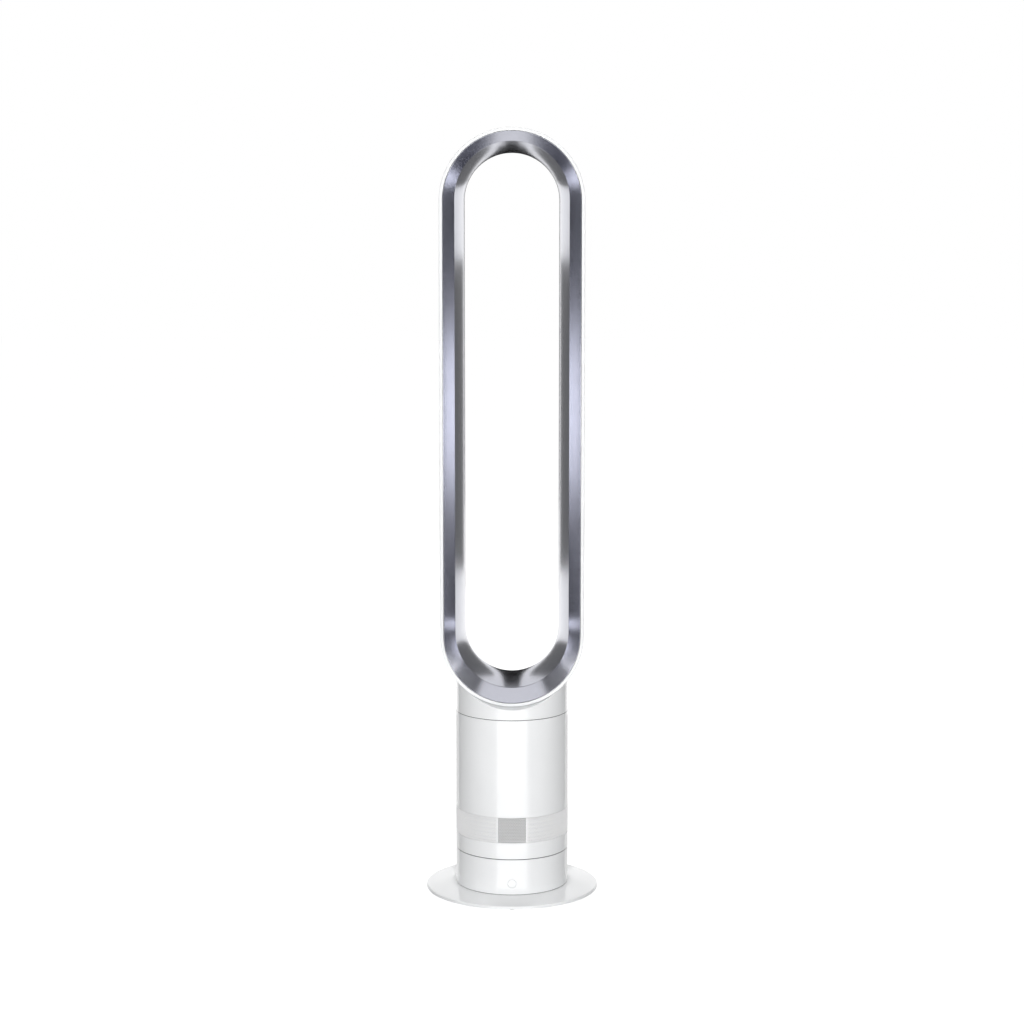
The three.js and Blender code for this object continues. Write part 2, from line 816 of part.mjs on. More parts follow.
// The motor's cup, its dome upwards, with the fixed vanes that hold it in the housing.
function motorBucket() {
  const cup = bucketHeight - bucketDome;
  const dome = ellipse([0, cup], [bucketRadius, bucketDome], 0, Math.PI / 2, 3);
  const innerRadii = [bucketRadius - bucketWall, bucketDome - bucketWall];
  const innerDome = ellipse([0, cup], innerRadii, Math.PI / 2, 0, 3);
  const floor = bearingHeight + bearingSeat;
  const outline = [
    [bearingRadius + seat, 0],
    [hubOutlet, 0],
    [bucketRadius, bucketShoulder],
    ...dome.slice(0, -1),
    [0, bucketHeight],
    [0, bucketHeight - bucketWall],
    ...innerDome.slice(1),
    [bucketRadius - bucketWall, floor],
    [bearingRadius + seat, floor],
  ];
  const vanes = around(vaneCount, (turn) => guideVane().rotateZ(turn));
  return join(revolve(outline, innerSides), ...vanes);
}

function guideVane() {
  const rises = [0, 0.5, 1];
  const face = (side) =>
    rises.map((rise) =>
      [bucketRadius - vaneSink, housingRadius - seat - running].map((radius) => {
        const angle = vaneTwist * (1 - rise) ** 2 + (side * vaneThickness) / 2 / radius;
        return [radius * Math.cos(angle), radius * Math.sin(angle), vaneFoot + vaneHeight * rise];
      }),
    );
  return slab(face(1), face(-1));
}

function motorBearing() {
  return ring(bearingRadius, shaftRadius + seat, bearingHeight, smallSides);
}

function motorStator() {
  return ring(statorRadius, rotorRadius + running, statorHeight, innerSides);
}

function motorRotor() {
  const below = bucketFoot - impellerFoot - shaftShorter;
  const rotorFoot = bearingHeight + rotorGap;
  const rotorTop = rotorFoot + statorHeight - rotorShorter;
  const shaftTop = rotorFoot + statorHeight + shaftEnd;
  const outline = [
    [0, -below],
    [shaftRadius, -below],
    [shaftRadius, rotorFoot],
    [rotorRadius, rotorFoot],
    [rotorRadius, rotorTop],
    [shaftRadius, rotorTop],
    [shaftRadius, shaftTop],
    [0, shaftTop],
  ];
  return revolve(outline, innerSides);
}

// A short pipe from the blower's outlet, with a flange that rests on the shell's upper ledge.
function outletFunnel() {
  const outline = [
    [housingOutlet, -funnelDepth],
    [housingOutlet + funnelWall, -funnelDepth],
    [housingOutlet + funnelWall, 0],
    [bodyBore - running, 0],
    [bodyBore - running, funnelWall],
    [housingOutlet, funnelWall],
  ];
  return revolve(outline, innerSides);
}

// ---------- nozzle loop ----------

// The stations of a half round of the path: an angle in the XZ plane and the height of its centre.
function halfRound(start, centre) {
  return Array.from({ length: loopSteps + 1 }, (_, i) => [start + (i * Math.PI) / loopSteps, centre]);
}

const overTop = halfRound(0, upperCentre);
const underBottom = halfRound(Math.PI, lowerCentre);

// The whole stadium, closed on itself.
const loopStations = [...overTop, ...underBottom];

// The straight sides between the half rounds, clear of them by a seat.
const downLeft = [[Math.PI, upperCentre - seat], [Math.PI, lowerCentre + seat]];
const upRight = [[0, lowerCentre + seat], [0, upperCentre - seat]];

// Sweeps a closed outline of [radius, depth, lift] through stations. A sweep that isn't closed on
// itself gets an end at each side.
function sweep(outline, stations) {
  const closed = stations === loopStations;
  const points = stations.flatMap(([angle, centre]) =>
    outline.map(([radius, depth, lift = 0]) => [
      radius * Math.cos(angle),
      loopFront + depth,
      centre + lift + radius * Math.sin(angle),
    ]),
  );
  const count = outline.length;
  const last = stations.length - 1;
  const index = [];
  stations.forEach((_, i) => {
    if (i === last && !closed) return;
    const next = (i + 1) % stations.length;
    outline.forEach((_, j) => {
      const [a, b] = [i * count + j, i * count + ((j + 1) % count)];
      const [c, d] = [next * count + ((j + 1) % count), next * count + j];
      index.push(a, b, c, a, c, d);
    });
  });
  if (!closed) {
    const end = endTriangles(outline);
    const start = end.map(([a, b, c]) => [c, b, a]);
    index.push(...start.flat(), ...end.flat().map((corner) => corner + last * count));
  }
  return pointsGeometry(points, index);
}

// The triangles that fill an outline, turned the way that it runs.
function endTriangles(outline) {
  const contour = outline.map(([radius, depth]) => new THREE.Vector2(radius, depth));
  const way = Math.sign(THREE.ShapeUtils.area(contour));
  return THREE.ShapeUtils.triangulateShape(contour, []).map((corners) => {
    const turned = Math.sign(THREE.ShapeUtils.area(corners.map((corner) => contour[corner])));
    return turned === -way ? corners.reverse() : corners;
  });
}

// The loop's outline as a solid right through from front to back.
function loopPrism(radius) {
  const corners = loopStations.map(([angle, centre]) => {
    return new THREE.Vector2(radius * Math.cos(angle), centre + radius * Math.sin(angle));
  });
  const depth = 4 * bodyRadius;
  return new THREE.ExtrudeGeometry(new THREE.Shape(corners), { depth, bevelEnabled: false })
    .rotateX(Math.PI / 2)
    .translate(0, depth / 2, 0);
}

function ductHole(grow, height) {
  const hole = new THREE.Shape();
  hole.absellipse(0, 0, ductWidth / 2 + grow, ductDepth / 2 + grow, 0, 2 * Math.PI);
  const settings = { depth: height, bevelEnabled: false, curveSegments: smallSides };
  return new THREE.ExtrudeGeometry(hole, settings);
}

// A rounded tail joins the outer side to the lip of the slit.
const tailRadius = (loopRadius - throatRadius) / 2;
const tailCentre = [loopRadius - tailRadius, sideDepth];
const tailRadii = [tailRadius, loopDepth - sideDepth];
const tailEnd = Math.PI - Math.asin((tailLipDepth - sideDepth) / (loopDepth - sideDepth));

function shellFace() {
  return [
    [loopRadius - rimWidth, 0],
    [loopRadius - rimRound, 0],
    [loopRadius, rimRound],
    ...ellipse(tailCentre, tailRadii, 0, tailEnd, 6),
  ];
}

function loopShell() {
  const hole = ductHole(seat, loopRadius).translate(0, 0, loopBottom - loopWall);
  return cut(sweep(sheet(shellFace(), loopWall), loopStations), hole);
}

function loopBezel() {
  const outer = loopRadius - rimWidth - seat;
  const outline = [
    [outer, bezelSink],
    [lipRadius, lipDepth, lipLift],
    [lipRadius, lipDepth + bezelSheet, lipLift],
    [outer - bezelSheet, bezelSheet + bezelCorner],
    [outer - bezelSheet, bezelFlange],
    [outer, bezelFlange],
  ];
  return sweep(outline, loopStations);
}

// The wall that the jet clings to narrows from the lip to the throat, then curls back.
const wallFront = lipDepth + bezelSheet + seat;
const curlEnd = THREE.MathUtils.degToRad(55);

function innerWallFace() {
  const slope = [0, 0.35, 0.7].map((share) => {
    const radius = throatRadius + (lipRadius - throatRadius) * (1 - share) ** 1.6;
    return [radius, wallFront + (throatDepth - wallFront) * share, lipLift * (1 - share)];
  });
  const centre = [throatRadius + curlRadius, throatDepth];
  const curl = ellipse(centre, [curlRadius, curlRadius], Math.PI, Math.PI - curlEnd, 2);
  return [...slope, ...curl.map(([radius, depth]) => [radius, depth, 0])];
}

// It is made in four lengths that meet end to end: two half rounds and two straight sides.
function innerWallLength(stations) {
  return sweep(sheet(innerWallFace(), -innerSheet), stations);
}

// A small block that holds the slit open, between the end of the inner wall and the shell's lip.
function slitSpacer(side) {
  const face = shellFace();
  const lip = sheet(face, loopWall)[face.length];
  const [radius, depth] = innerWallFace().at(-1);
  const gap = lip[1] - depth;
  return block(spacerWidth, gap - 2 * seat, spacerLength, side * radius, loopFront + depth + gap / 2);
}

// The neck is the body's tube carried up and cut to the loop that stands in it.
function neck() {
  const height = lowerCentre - neckFoot;
  const tube = ring(bodyRadius, 0, height, bodySides).translate(0, 0, neckFoot);
  const outside = cut(tube, loopPrism(loopRadius + seat));
  const core = ring(bodyBore, 0, height + seat, bodySides).translate(0, 0, neckFoot - seat);
  const inside = cut(core, loopPrism(loopRadius + seat + neckSkin));
  return cut(outside, inside, ductHole(seat, height).translate(0, 0, neckFoot));
}

function ductSeal() {
  return cut(ductHole(0, sealHeight), ductHole(-sealWall, sealHeight + 2 * seat).translate(0, 0, -seat));
}

// ---------- the fan ----------

function foot() {
  const group = new THREE.Group();
  group.add(piece("base_plate", "white", basePlate(), groundGap));
  group.add(piece("underside_cover", "moulded", undersideCover(), groundGap + seat));
  group.add(piece("ballast_ring", "steel", ballastRing(), groundGap + 2 * seat + coverSheet));
  around(footCount, (angle, i) => {
    group.add(piece(`rubber_foot_${i + 1}`, "rubber", at(footPad(), footRing, angle)));
  });
  group.add(piece("lower_housing", "white", lowerHousing(), lowerFoot));
  const screwSeat = plateTop - plateSkin - seat;
  const addScrew = (angle, i) => {
    group.add(piece(`housing_screw_${i + 1}`, "steel", at(housingScrew(), screwRing, angle), screwSeat));
  };
  around(screwCount, addScrew, screwTurn);
  group.add(piece("control_board", "board", controlBoard(), lowerFoot));
  group.add(piece("button_switch", "moulded", buttonSwitch(), lowerFoot + buttonHeight));
  const inlet = piece("power_inlet", "rubber", powerInlet(), lowerFoot + inletHeight);
  inlet.position.y = bodyBore - inletFlange - inletGap;
  group.add(inlet);
  group.add(piece("bearing_deck", "moulded", bearingDeck(), deckTop - deckSheet));
  group.add(piece("glide_ring", "acetal", glideRing(), deckTop + seat));
  const motor = piece("swing_motor", "steel", swingMotor(), deckTop - deckSheet - seat - swingMotorHeight);
  motor.position.y = pinionOffset;
  group.add(motor);
  return group;
}

function button() {
  const group = new THREE.Group();
  group.position.z = lowerFoot + buttonHeight;
  group.add(piece("power_button", "white", powerButton()));
  return group;
}

function pinion() {
  const group = new THREE.Group();
  group.position.set(0, pinionOffset, gearFoot);
  group.add(piece("pinion_gear", "acetal", pinionGear()));
  return group;
}

function swingingBody() {
  const group = new THREE.Group();
  group.add(piece("turntable", "moulded", turntable(), turntableFoot));
  group.add(piece("ring_gear", "acetal", ringGear(), gearFoot));
  const retainerFoot = deckTop - deckSheet - running - retainerThickness;
  group.add(piece("retaining_ring", "steel", retainingRing(), retainerFoot));
  group.add(piece("lower_shell", "white", lowerShell(), upperFoot));
  group.add(piece("intake_grille", "grille", intakeGrille(), grilleFoot));
  group.add(piece("display_window", "smoked", displayWindow(), grilleFoot + lipHeight));
  const display = piece("display_board", "board", displayBoard(), displaySeat);
  display.position.y = ledgeWidth / 2 - bodyBore;
  group.add(display);
  group.add(piece("upper_shell", "white", upperShell(), upperShellFoot));
  group.add(piece("bellmouth", "moulded", bellmouth(), bellmouthFoot));
  group.add(piece("acoustic_liner", "foam", acousticLiner(), bellmouthFoot + mouthSheet + seat));
  group.add(piece("isolator_ring", "rubber", isolatorRing(), bellmouthFoot + mouthSheet + seat));
  group.add(piece("impeller_housing", "moulded", impellerHousing(), impellerFoot));
  group.add(piece("motor_bucket", "moulded", motorBucket(), bucketFoot));
  group.add(piece("motor_bearing", "steel", motorBearing(), bucketFoot));
  const statorFoot = bucketFoot + bearingHeight + bearingSeat + seat;
  group.add(piece("motor_stator", "steel", motorStator(), statorFoot));
  group.add(piece("outlet_funnel", "moulded", outletFunnel(), funnelFoot));
  group.add(nozzle());
  return group;
}

function nozzle() {
  const group = new THREE.Group();
  group.add(piece("neck", "white", neck()));
  group.add(piece("duct_seal", "rubber", ductSeal(), loopBottom - sealDrop));
  group.add(piece("loop_shell", "white", loopShell()));
  group.add(piece("loop_bezel", "satin", loopBezel()));
  group.add(piece("inner_wall_top", "satin", innerWallLength(overTop)));
  group.add(piece("inner_wall_bottom", "satin", innerWallLength(underBottom)));
  group.add(piece("inner_wall_left", "satin", innerWallLength(downLeft)));
  group.add(piece("inner_wall_right", "satin", innerWallLength(upRight)));
  const perSide = spacerCount / 2;
  const straight = upperCentre - lowerCentre;
  for (let i = 0; i < spacerCount; i++) {
    const height = lowerCentre + (straight * ((i % perSide) + 0.5)) / perSide;
    group.add(piece(`slit_spacer_${i + 1}`, "moulded", slitSpacer(i < perSide ? 1 : -1), height));
  }
  return group;
}

function blower() {
  const group = new THREE.Group();
  group.add(piece("impeller", "moulded", impeller(), impellerFoot));
  group.add(piece("motor_rotor", "steel", motorRotor(), bucketFoot));
  return group;
}

const fan = new THREE.Group();
fan.add(foot(), button(), pinion(), swingingBody(), blower());

export default fan;
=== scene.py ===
# %% [markdown]
# # A bladeless tower fan in white plastic and satin metal
#
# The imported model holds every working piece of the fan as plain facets. This lesson loads it and
# gives it its looks: finer pieces where the light would show facets, and a finish on each surface.
# Lengths are in millimetres in the text and in the constants, and `mm` turns them to metres.

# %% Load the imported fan
import json
import math

import bmesh
import bpy
from mathutils import Matrix, Vector


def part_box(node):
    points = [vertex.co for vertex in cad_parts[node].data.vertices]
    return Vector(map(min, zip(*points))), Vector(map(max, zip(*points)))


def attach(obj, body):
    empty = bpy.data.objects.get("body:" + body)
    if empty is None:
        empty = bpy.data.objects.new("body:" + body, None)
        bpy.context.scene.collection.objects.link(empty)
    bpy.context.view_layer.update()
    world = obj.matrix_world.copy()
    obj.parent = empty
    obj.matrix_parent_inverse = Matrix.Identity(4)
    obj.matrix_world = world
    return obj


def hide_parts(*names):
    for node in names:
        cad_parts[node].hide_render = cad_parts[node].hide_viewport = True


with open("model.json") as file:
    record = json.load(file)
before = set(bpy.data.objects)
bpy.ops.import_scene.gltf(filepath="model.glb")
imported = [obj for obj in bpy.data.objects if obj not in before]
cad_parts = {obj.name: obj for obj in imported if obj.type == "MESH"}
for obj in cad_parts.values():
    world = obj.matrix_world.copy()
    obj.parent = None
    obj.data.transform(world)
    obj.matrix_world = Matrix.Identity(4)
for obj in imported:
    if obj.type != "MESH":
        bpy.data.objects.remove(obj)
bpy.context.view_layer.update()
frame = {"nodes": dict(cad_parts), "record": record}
nodes = frame["nodes"]


def mm(length):
    return length / 1000


# %% [markdown]
# ## The camera
#
# The photograph looks slightly down on the fan from about three metres: the foot plate shows its
# top, and the loop hardly narrows upwards. A long lens keeps the sides upright, and a small shift
# puts the fan at the height that it has in the picture.

# %% Camera
camera = bpy.data.objects.new("camera", bpy.data.cameras.new("camera"))
camera.data.sensor_width = 36
camera.data.lens = 84.13
camera.data.shift_y = -0.03
camera.location = (0, -3.1271, 0.92285)
camera.rotation_euler = (math.radians(90 - 6.859), 0, 0)
bpy.context.scene.collection.objects.link(camera)
bpy.context.scene.camera = camera
print("camera", tuple(round(x, 3) for x in camera.location), "lens", camera.data.lens)

# %% [markdown]
# ## Nodes and colours
#
# Every finish is a tree of shader nodes. One helper adds a node, fills in its settings and links
# its inputs. Colours are written as the hex values of a paint chart and turned to linear light.


# %% Helpers for materials
def linear(code):
    channels = [int(code[i : i + 2], 16) / 255 for i in (0, 2, 4)]
    return [c / 12.92 if c <= 0.04045 else ((c + 0.055) / 1.055) ** 2.4 for c in channels] + [1]


def add(tree, kind, inputs=None, **settings):
    node = tree.nodes.new("ShaderNode" + kind)
    for name, value in settings.items():
        setattr(node, name, value)
    for socket, value in (inputs or {}).items():
        if isinstance(value, bpy.types.NodeSocket):
            tree.links.new(value, node.inputs[socket])
        else:
            node.inputs[socket].default_value = value
    return node


def new_finish(name, **sockets):
    """A material with one Principled shader whose sockets have the given plain values."""
    material = bpy.data.materials.new(name)
    material.use_nodes = True
    tree = material.node_tree
    tree.nodes.clear()
    shader = add(tree, "BsdfPrincipled", {key.replace("_", " "): v for key, v in sockets.items()})
    output = add(tree, "OutputMaterial")
    tree.links.new(shader.outputs["BSDF"], output.inputs["Surface"])
    return material, tree, shader


def feed(tree, shader, socket, node, output):
    tree.links.new(node.outputs[output], shader.inputs[socket])


def mottled(name, tone, sheen, relief=None, **sockets):
    """A finish whose colour, gloss and relief drift over the object, each at its own size in mm.

    tone is (size, colour, colour), sheen is (size, roughness, roughness) and relief is
    (size, depth, detail), its depth in mm too.
    """
    material, tree, shader = new_finish(name, **sockets)
    place = add(tree, "TexCoord").outputs["Object"]
    stretch = {"From Min": 0.3, "From Max": 0.7}
    size, first, second = tone
    grains = add(tree, "TexNoise", {"Vector": place, "Scale": 1 / mm(size), "Detail": 2.0}).outputs["Fac"]
    share = add(tree, "MapRange", {"Value": grains, **stretch}).outputs["Result"]
    blend = add(tree, "Mix", {"Factor": share, "A": linear(first), "B": linear(second)}, data_type="RGBA")
    feed(tree, shader, "Base Color", blend, "Result")
    size, low, high = sheen
    grains = add(tree, "TexNoise", {"Vector": place, "Scale": 1 / mm(size), "Detail": 2.0}).outputs["Fac"]
    gloss = add(tree, "MapRange", {"Value": grains, **stretch, "To Min": low, "To Max": high})
    feed(tree, shader, "Roughness", gloss, "Result")
    if relief:
        size, depth, detail = relief
        noise = {"Vector": place, "Scale": 1 / mm(size), "Detail": detail}
        grains = add(tree, "TexNoise", noise).outputs["Fac"]
        feed(tree, shader, "Normal", add(tree, "Bump", {"Height": grains, "Distance": mm(depth)}), "Normal")
    print(name, len(tree.nodes), "shader nodes")
    return material


# %% [markdown]
# ## Gloss white ABS
#
# The body is injection-moulded ABS from a polished mould. It mirrors the studio with clean edges.
# Only a very shallow orange peel, a few millimetres across, and a slight drift of the gloss tell
# it from glass.

# %% White plastic
white_abs = mottled("gloss_white_abs", (60, "F3F4F5", "F1F2F3"), (14, 0.03, 0.05), (5, 0.001, 1.0), IOR=1.52)

# %% [markdown]
# ## Satin silver plating
#
# The loop's bezel and inner wall are plastic with a satin metal coat, a cool grey. Its flakes are
# finer than the picture can show, so they are drawn about a millimetre wide and faint.

# %% Satin metal
satin_metal = mottled("satin_silver_plating", (1.2, "9FA0A8", "A5A6AE"), (9, 0.17, 0.20), (1.0, 0.0006, 2.0),
                      Metallic=1.0)

# %% [markdown]
# ## The intake's enamel, the smoked window and what lies behind
#
# The perforated band is thin steel sheet under a baked satin enamel. Behind its front patch sits
# the display's smoked window, and behind the rest a pale woven guard. A wave texture's bands lie
# 2 pi / 20 of its inverse scale apart. Real threads, perhaps 0.9 mm apart, are too fine to show,
# so these are drawn several times coarser.

# %% Band finishes
band_enamel = mottled("baked_white_enamel", (25, "F8F8F9", "FAFAFA"), (2, 0.30, 0.38), (0.8, 0.01, 2.0),
                      IOR=1.5)
smoked_acrylic = mottled("smoked_acrylic", (30, "1E1F21", "26272A"), (6, 0.3, 0.4), IOR=1.49,
                         Specular_IOR_Level=0.2)

THREAD_SPACING = 0.9 * math.tau
guard_weave, tree, shader = new_finish("woven_guard", IOR=1.5, Roughness=0.6)
place = add(tree, "TexCoord").outputs["Object"]
wave = {"Vector": place, "Scale": math.tau / 20 / mm(THREAD_SPACING), "Distortion": 0.6}
threads = add(tree, "TexWave", wave, bands_direction="Z").outputs["Fac"]
yarn = add(tree, "Mix", {"Factor": threads, "A": linear("E6E8EA"), "B": linear("F4F5F5")}, data_type="RGBA")
feed(tree, shader, "Base Color", yarn, "Result")
feed(tree, shader, "Normal", add(tree, "Bump", {"Height": threads, "Distance": mm(0.1)}), "Normal")
print("threads", round(THREAD_SPACING, 2), "mm apart")

# %% [markdown]
# ## Finishes that show from below, from behind and through the slit
#
# Rubber is dull and slightly blotchy. The inner mouldings are glass-filled nylon with a spark
# texture. Steel is zinc plated, with a faint crystal pattern. The acetal gears are waxy. The
# liner is open-celled foam, and the boards wear a green lacquer with pale tracks.

# %% Rubber, nylon and acetal
black_rubber = mottled("moulded_rubber", (4, "1F1F20", "2A2A2B"), (3, 0.7, 0.85), (0.7, 0.03, 2.0), IOR=1.52)
dark_nylon = mottled("spark_textured_nylon", (12, "424448", "4C4E52"), (2, 0.45, 0.6), (0.6, 0.03, 2.0),
                     IOR=1.53)
waxy_acetal = mottled("natural_acetal", (10, "E2DED2", "E8E5DB"), (3, 0.32, 0.42), (1.5, 0.01, 2.0), IOR=1.48)

# %% Zinc plate, its crystals 3 mm across
zinc_steel, tree, shader = new_finish("zinc_plated_steel", Metallic=1.0)
place = add(tree, "TexCoord").outputs["Object"]
crystals = add(tree, "TexVoronoi", {"Vector": place, "Scale": 1 / mm(3)}).outputs["Distance"]
zinc = add(tree, "Mix", {"Factor": crystals, "A": linear("9A9DA1"), "B": linear("B2B5B8")}, data_type="RGBA")
feed(tree, shader, "Base Color", zinc, "Result")
gloss = {"Value": crystals, "From Min": 0.3, "From Max": 0.7, "To Min": 0.3, "To Max": 0.42}
feed(tree, shader, "Roughness", add(tree, "MapRange", gloss), "Result")
print(zinc_steel.name, len(tree.nodes), "shader nodes")

# %% Foam, its cells 1.6 mm across
open_foam, tree, shader = new_finish("open_cell_foam", Roughness=0.95)
place = add(tree, "TexCoord").outputs["Object"]
cells = add(tree, "TexVoronoi", {"Vector": place, "Scale": 1 / mm(1.6)}).outputs["Distance"]
foam = add(tree, "Mix", {"Factor": cells, "A": linear("1D1E20"), "B": linear("47494C")}, data_type="RGBA")
feed(tree, shader, "Base Color", foam, "Result")
feed(tree, shader, "Normal", add(tree, "Bump", {"Height": cells, "Distance": mm(0.6)}), "Normal")
print(open_foam.name, len(tree.nodes), "shader nodes")

# %% Circuit board
green_board, tree, shader = new_finish("lacquered_board", IOR=1.5)
place = add(tree, "TexCoord").outputs["Object"]
tracks = add(tree, "TexBrick", {"Vector": place, "Scale": 1 / mm(9), "Color1": linear("23603B"),
                                "Color2": linear("2A6B44"), "Mortar": linear("3E8458")})
feed(tree, shader, "Base Color", tracks, "Color")
lacquer = add(tree, "TexNoise", {"Vector": place, "Scale": 1 / mm(5), "Detail": 2.0}).outputs["Fac"]
gloss = {"Value": lacquer, "From Min": 0.3, "From Max": 0.7, "To Min": 0.25, "To Max": 0.4}
feed(tree, shader, "Roughness", add(tree, "MapRange", gloss), "Result")
print(green_board.name, len(tree.nodes), "shader nodes")

# %% [markdown]
# ## Dressing the nodes
#
# The record says which slot each node takes its finish from. Each slot gets its material, and the
# finer pieces below take theirs from the same table.

# %% Give each node its finish
finish_of = {
    "white_shell": white_abs,
    "satin_metal": satin_metal,
    "grille_enamel": band_enamel,
    "smoked_window": smoked_acrylic,
    "black_rubber": black_rubber,
    "bright_steel": zinc_steel,
    "dark_moulding": dark_nylon,
    "natural_acetal": waxy_acetal,
    "grey_foam": open_foam,
    "green_board": green_board,
}
slot_of = {part["node"]: part["material_slot"] for part in frame["record"]["subparts"]}
for name, node in nodes.items():
    node.data.materials.clear()
    node.data.materials.append(finish_of[slot_of[name]])
print("finishes", len(finish_of))

# %% [markdown]
# ## Turning a profile
#
# Most of the body is round, so each piece is a drawn profile turned about the vertical axis, as
# on a lathe. The profile's corners are bevelled while it is still flat, which gives every rim the
# small radius that a mould leaves and that catches the light.


# %% Helpers for meshes
BODY_RADIUS = 74.5
BODY_BORE = 72.1
GROOVE_RADIUS = 73.7


def as_mesh(bm, name):
    mesh = bpy.data.meshes.new(name)
    bm.to_mesh(mesh)
    bm.free()
    return mesh


def put(name, data):
    """An object of that name in the scene, at the origin."""
    thing = bpy.data.objects.new(name, data)
    bpy.context.scene.collection.objects.link(thing)
    return thing


def close_loop(bm, points):
    """A closed wire through points, whose corners can be bevelled before it is turned."""
    corners = [bm.verts.new(point) for point in points]
    for first, second in zip(corners, corners[1:] + corners[:1]):
        bm.edges.new((first, second))
    return corners


def soften(bm, corners, radius, segments=3):
    bmesh.ops.bevel(bm, geom=corners, offset=mm(radius), offset_type="OFFSET", segments=segments,
                    profile=0.5, affect="VERTICES", clamp_overlap=True, material=-1)


def turned(profile, rounded, steps=160):
    """A profile of (radius, height) in mm turned about Z, its corners rounded by radius in mm."""
    bm = bmesh.new()
    corners = close_loop(bm, [(0, -mm(radius), mm(height)) for radius, height in profile])
    for radius in sorted(set(rounded.values())):
        soften(bm, [corners[i] for i in rounded if rounded[i] == radius], radius)
    bmesh.ops.spin(bm, geom=bm.verts[:] + bm.edges[:], cent=(0, 0, 0), axis=(0, 0, 1),
                   angle=2 * math.pi, steps=steps, use_merge=True)
    bmesh.ops.remove_doubles(bm, verts=bm.verts, dist=1e-6)
    return bm


def make_piece(name, bm, body, slot, *stands_for, sharp=40):
    """Hands a finished mesh over to its body: normals outwards, curves smooth and flats even."""
    bmesh.ops.recalc_face_normals(bm, faces=bm.faces)
    mesh = as_mesh(bm, name)
    mesh.shade_smooth()
    mesh.set_sharp_from_angle(angle=math.radians(sharp))
    mesh.materials.append(finish_of[slot])
    piece = put(name, mesh)
    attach(piece, body)
    if stands_for:
        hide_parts(*stands_for)
    flats = piece.modifiers.new("true_flats", "WEIGHTED_NORMAL")
    flats.keep_sharp = True
    flats.weight = 80
    print(name, len(mesh.polygons), "faces")
    return piece


# %% [markdown]
# ## The foot plate
#
# A round plate carries the fan. Its top falls gently from the housing to a thin rim with rounded
# edges, and it is hollow below, where the ballast and the cover sit.

# %% Foot plate
plate_profile = [(30, 8.6), (30, 6.2), (BODY_RADIUS, 6.2), (96, 3.3), (96, 1.2), (114, 1.2), (114, 5.2),
                 (79, 8.6)]
plate = turned(plate_profile, {5: 0.5, 6: 1.2, 7: 3}, 192)
make_piece("foot_plate", plate, "base", "white_shell", "base_plate")

# %% [markdown]
# ## Rubber feet and underside cover
#
# Six rubber pads hold the plate off the floor. Each has a shallow ring pressed into its sole. The
# cover that closes the underside is a flat moulding with a raised rim.

# %% Feet and cover
pad_profile = [(0, 0), (2, 0), (2.4, 0.3), (3.8, 0.3), (4.2, 0), (6.5, 0), (6.5, 2.5), (0, 2.5)]
for number in range(1, 7):
    lowest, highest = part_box(f"rubber_foot_{number}")
    middle = (lowest + highest) / 2
    pad = turned(pad_profile, {5: 0.8, 6: 0.2}, 40)
    bmesh.ops.translate(pad, verts=pad.verts, vec=(middle.x, middle.y, 0))
    make_piece(f"foot_pad_{number}", pad, "base", "black_rubber", f"rubber_foot_{number}")

cover_profile = [(0, 1.8), (20, 1.8), (20.5, 1.5), (24, 1.5), (24.5, 1.8), (88, 1.8), (88.6, 1.5),
                 (95.7, 1.5), (95.7, 3.1), (0, 3.1)]
cover = turned(cover_profile, {7: 0.2}, 128)
make_piece("bottom_cover", cover, "base", "dark_moulding", "underside_cover")

# %% [markdown]
# ## The housings
#
# The lower housing stands still on the plate. The ring above it swings with everything that it
# carries, and a running gap of 0.6 mm parts the two. The tube above the intake band hides the
# blower. Each is a tube with slightly rounded rims and, at a seam, a groove 0.8 mm deep.

# %% Lower housing, with holes for the button and the lead
housing_profile = [(62.1, 8.9), (GROOVE_RADIUS, 8.9), (GROOVE_RADIUS, 9.2), (BODY_RADIUS, 9.2),
                   (BODY_RADIUS, 55.6), (GROOVE_RADIUS, 55.6), (GROOVE_RADIUS, 56.0), (BODY_BORE, 56.0),
                   (BODY_BORE, 46.4), (66.1, 46.4), (BODY_BORE, 40.4), (BODY_BORE, 11.1), (62.1, 11.1)]
wall_round = turned(housing_profile, {3: 0.2, 4: 0.2}, 192)
housing = make_piece("housing_wall", wall_round, "base", "white_shell", "lower_housing")
BUTTON_HEIGHT = 23.9
BUTTON_HOLE = 5.8
INLET_HEIGHT = 21.9
INLET_HOLE = 7.3


def drill(piece, radius, front, back, height):
    """Cuts a round hole along Y through a wall."""
    bm = bmesh.new()
    start = Matrix.Translation((0, mm(front), mm(height))) @ Matrix.Rotation(math.pi / 2, 4, "X")
    bmesh.ops.create_circle(bm, cap_ends=True, radius=mm(radius), segments=48, matrix=start)
    far = bmesh.ops.extrude_face_region(bm, geom=bm.faces[:])["geom"]
    far_points = [part for part in far if isinstance(part, bmesh.types.BMVert)]
    bmesh.ops.translate(bm, verts=far_points, vec=(0, mm(back - front), 0))
    bmesh.ops.recalc_face_normals(bm, faces=bm.faces)
    bit = put("drill", as_mesh(bm, "drill"))
    flats = piece.modifiers["true_flats"]
    flats.show_viewport = False
    cut = piece.modifiers.new("hole", "BOOLEAN")
    cut.object, cut.operation, cut.solver = bit, "DIFFERENCE", "EXACT"
    bpy.context.view_layer.update()
    evaluated = piece.evaluated_get(bpy.context.evaluated_depsgraph_get())
    drilled = bpy.data.meshes.new_from_object(evaluated)
    piece.modifiers.remove(cut)
    flats.show_viewport = True
    old, piece.data = piece.data, drilled
    bpy.data.meshes.remove(old)
    bpy.data.objects.remove(bit)
    drilled.shade_smooth()
    drilled.set_sharp_from_angle(angle=math.radians(40))


